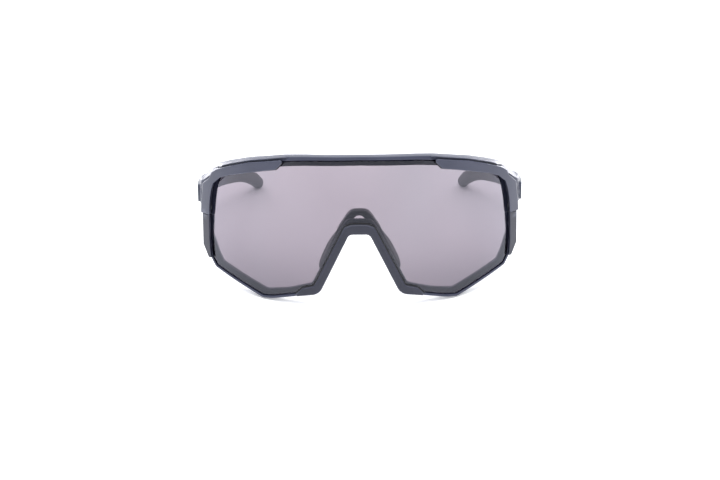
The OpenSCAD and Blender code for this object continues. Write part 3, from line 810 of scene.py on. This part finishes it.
def arm_ring(t, scale=1.0, ahead=0.0):
    """One ring round the arm, its section scaled and moved on by ahead."""
    _y, _x, _z, thick, height = along(ARM_STATIONS, t)
    u = (arm_centre(min(t + DIRECTION_STEP, 1)) - arm_centre(max(t - DIRECTION_STEP, 0))).normalized()
    out = Vector((u.y, -u.x, 0)).normalized()
    up = out.cross(u)
    at = arm_centre(t) + u * ahead
    power = SECTION_POWER + TIP_POWER * smooth_step(t, *TIP_POWER_SHARE)
    return [tuple(at + out * a + up * b) for a, b in section(thick * scale, height * scale, ARM_SIDES, power)]


def badge_shape(name, room, side):
    """The badge, or its pocket where there is room round it: a plate with round corners on the arm's outer
    face."""
    thick, length, height = (size + room * 2 for size in BADGE_SIZE)
    outline = [(-length / 2, -height / 2, BADGE_CORNER), (length / 2, -height / 2, BADGE_CORNER),
               (length / 2, height / 2, BADGE_CORNER), (-length / 2, height / 2, BADGE_CORNER)]
    base = counter_clockwise(filleted(outline))
    if room:
        levels = [(0, -thick / 2), (0, thick / 2 + POCKET_REACH)]
    else:
        shallow = BADGE_EDGE * 0.3
        levels = [(0, -thick / 2), (0, thick / 2 - BADGE_EDGE), (shallow, thick / 2 - shallow),
                  (BADGE_EDGE, thick / 2)]
    rings = []
    for distance, across in levels:
        ring = []
        for p in inset(base, distance):
            c, s = math.cos(BADGE_TURN), math.sin(BADGE_TURN)
            x, y = across * c - p.x * s, across * s + p.x * c
            ring.append((BADGE_AT.x + x, BADGE_AT.y + y, BADGE_AT.z + p.y))
        rings.append(ring)
    return skin(name, rings, side=side)


def make_arms():
    for name, side in SIDES.items():
        rings = [arm_ring(TIP_SPLIT * k / ARM_RINGS) for k in range(ARM_RINGS + 1)]
        arm = skin(f"{name}_temple_moulding", rings, side=side)
        plate_low, plate_high = (tuple(h + way for h, way in zip(HINGE, corner)) for corner in PLATE_ROOM)
        cut(arm, knuckle_room("arm_room", side), block("plate_room", plate_low, plate_high, side),
            badge_shape("badge_room", BADGE_ROOM, side), block("front_room", *FRONT_ROOM, side))
        softened(arm, ARM_EDGE)
        finished(arm, f"{name}_temple", frame_plastic)
        start = TIP_SPLIT + TIP_GAP
        rings = [arm_ring(start, scale, ahead) for scale, ahead in TIP_START]
        rings += [arm_ring(start + (1 - start) * k / ARM_RINGS) for k in range(1, ARM_RINGS + 1)]
        for k in range(1, TIP_END_STEPS):
            angle = math.pi / 2 * k / TIP_END_STEPS
            rings.append(arm_ring(1, math.cos(angle) ** TIP_END_POWER, TIP_END * math.sin(angle)))
        sleeve = skin(f"{name}_temple_tip_sleeve", rings, side=side, floor=True)
        finished(sleeve, f"{name}_temple_tip", tip_rubber)
        finished(badge_shape(f"{name}_temple_badge_inlay", 0, side), f"{name}_temple_badge", badge_inlay)
        metals = {"frame_hinge": hinge_steel, "temple_hinge": hinge_steel, "hinge_screw": screw_steel}
        for node, metal in metals.items():
            part = frame["nodes"][f"{name}_{node}"]
            part.data.materials.clear()
            part.data.materials.append(metal)
            softened(part, METAL_EDGE)


# ---- studio ----

def make_camera():
    """The photograph's view: from in front, well above the surface, with a long lens."""
    yaw_c, yaw_s = math.cos(CAMERA_YAW), math.sin(CAMERA_YAW)
    rise_c, rise_s = math.cos(CAMERA_ELEVATION), math.sin(CAMERA_ELEVATION)
    back = Vector((yaw_s * rise_c, -yaw_c * rise_c, rise_s))
    up = Vector((-yaw_s * rise_s, yaw_c * rise_s, rise_c))
    data = bpy.data.cameras.new("camera")
    data.lens, data.sensor_width = FOCAL_LENGTH, SENSOR_WIDTH
    data.clip_start, data.clip_end = 0.01, 50
    camera = bpy.data.objects.new("camera", data)
    bpy.context.scene.collection.objects.link(camera)
    middle = stood((0, 0, 0))
    camera.location = middle + back * CAMERA_DISTANCE * MM
    target = middle + (Vector((AIM_LEFT, 0, 0)) - up * AIM_BELOW) * MM
    aim = (target - camera.location).to_track_quat("-Z", "Y")
    camera.rotation_mode = "QUATERNION"
    camera.rotation_quaternion = aim @ Quaternion(Vector((0, 0, 1)), CAMERA_ROLL)
    bpy.context.scene.camera = camera


def soft_light(name, location, target, size, power, colour=(1, 1, 1)):
    data = bpy.data.lights.new(name, "AREA")
    data.shape, data.size, data.energy, data.color = "SQUARE", size, power, colour
    light = bpy.data.objects.new(name, data)
    light.location = location
    light.rotation_mode = "QUATERNION"
    light.rotation_quaternion = (Vector(target) - Vector(location)).to_track_quat("-Z", "Y")
    bpy.context.scene.collection.objects.link(light)


def make_floor(reach=4.0):
    """A white light table, which glows a little."""
    mesh = bpy.data.meshes.new("floor")
    corners = [(-reach, -reach, 0), (reach, -reach, 0), (reach, reach, 0), (-reach, reach, 0)]
    mesh.from_pydata(corners, [], [(0, 1, 2, 3)])
    floor = bpy.data.objects.new("floor", mesh)
    bpy.context.scene.collection.objects.link(floor)
    s = Shader("floor_white")
    tone = s.mixed(s.noise(6), (0.88, 0.88, 0.885), (0.9, 0.9, 0.9))
    s.principled.inputs["Specular IOR Level"].default_value = 0.2
    s.principled.inputs["Emission Color"].default_value = (1, 1, 1, 1)
    s.principled.inputs["Emission Strength"].default_value = 0.3
    mesh.materials.append(s.feed(Base_Color=tone, Roughness=s.remapped(s.noise(30), 0, 1, 0.6, 0.7)))


def make_studio():
    """Soft light from all round, from above and from behind on both sides."""
    make_floor()
    world = bpy.data.worlds.new("studio")
    world.use_nodes = True
    background = world.node_tree.nodes["Background"]
    background.inputs["Color"].default_value = (0.93, 0.96, 1.0, 1)
    background.inputs["Strength"].default_value = 1.0
    bpy.context.scene.world = world
    soft_light("overhead", (0, 0.05, 1.3), (0, 0, 0), size=2.0, power=30)
    for name, side in SIDES.items():
        location = (side * 0.66, 1.08, 0.27)
        soft_light(f"behind_{name}", location, (0, 0, 0.05), size=0.55, power=9, colour=(0.95, 0.94, 1))
    bpy.context.scene.view_settings.view_transform = "Standard"


make_front()
make_nose()
make_arms()
make_camera()
make_studio()
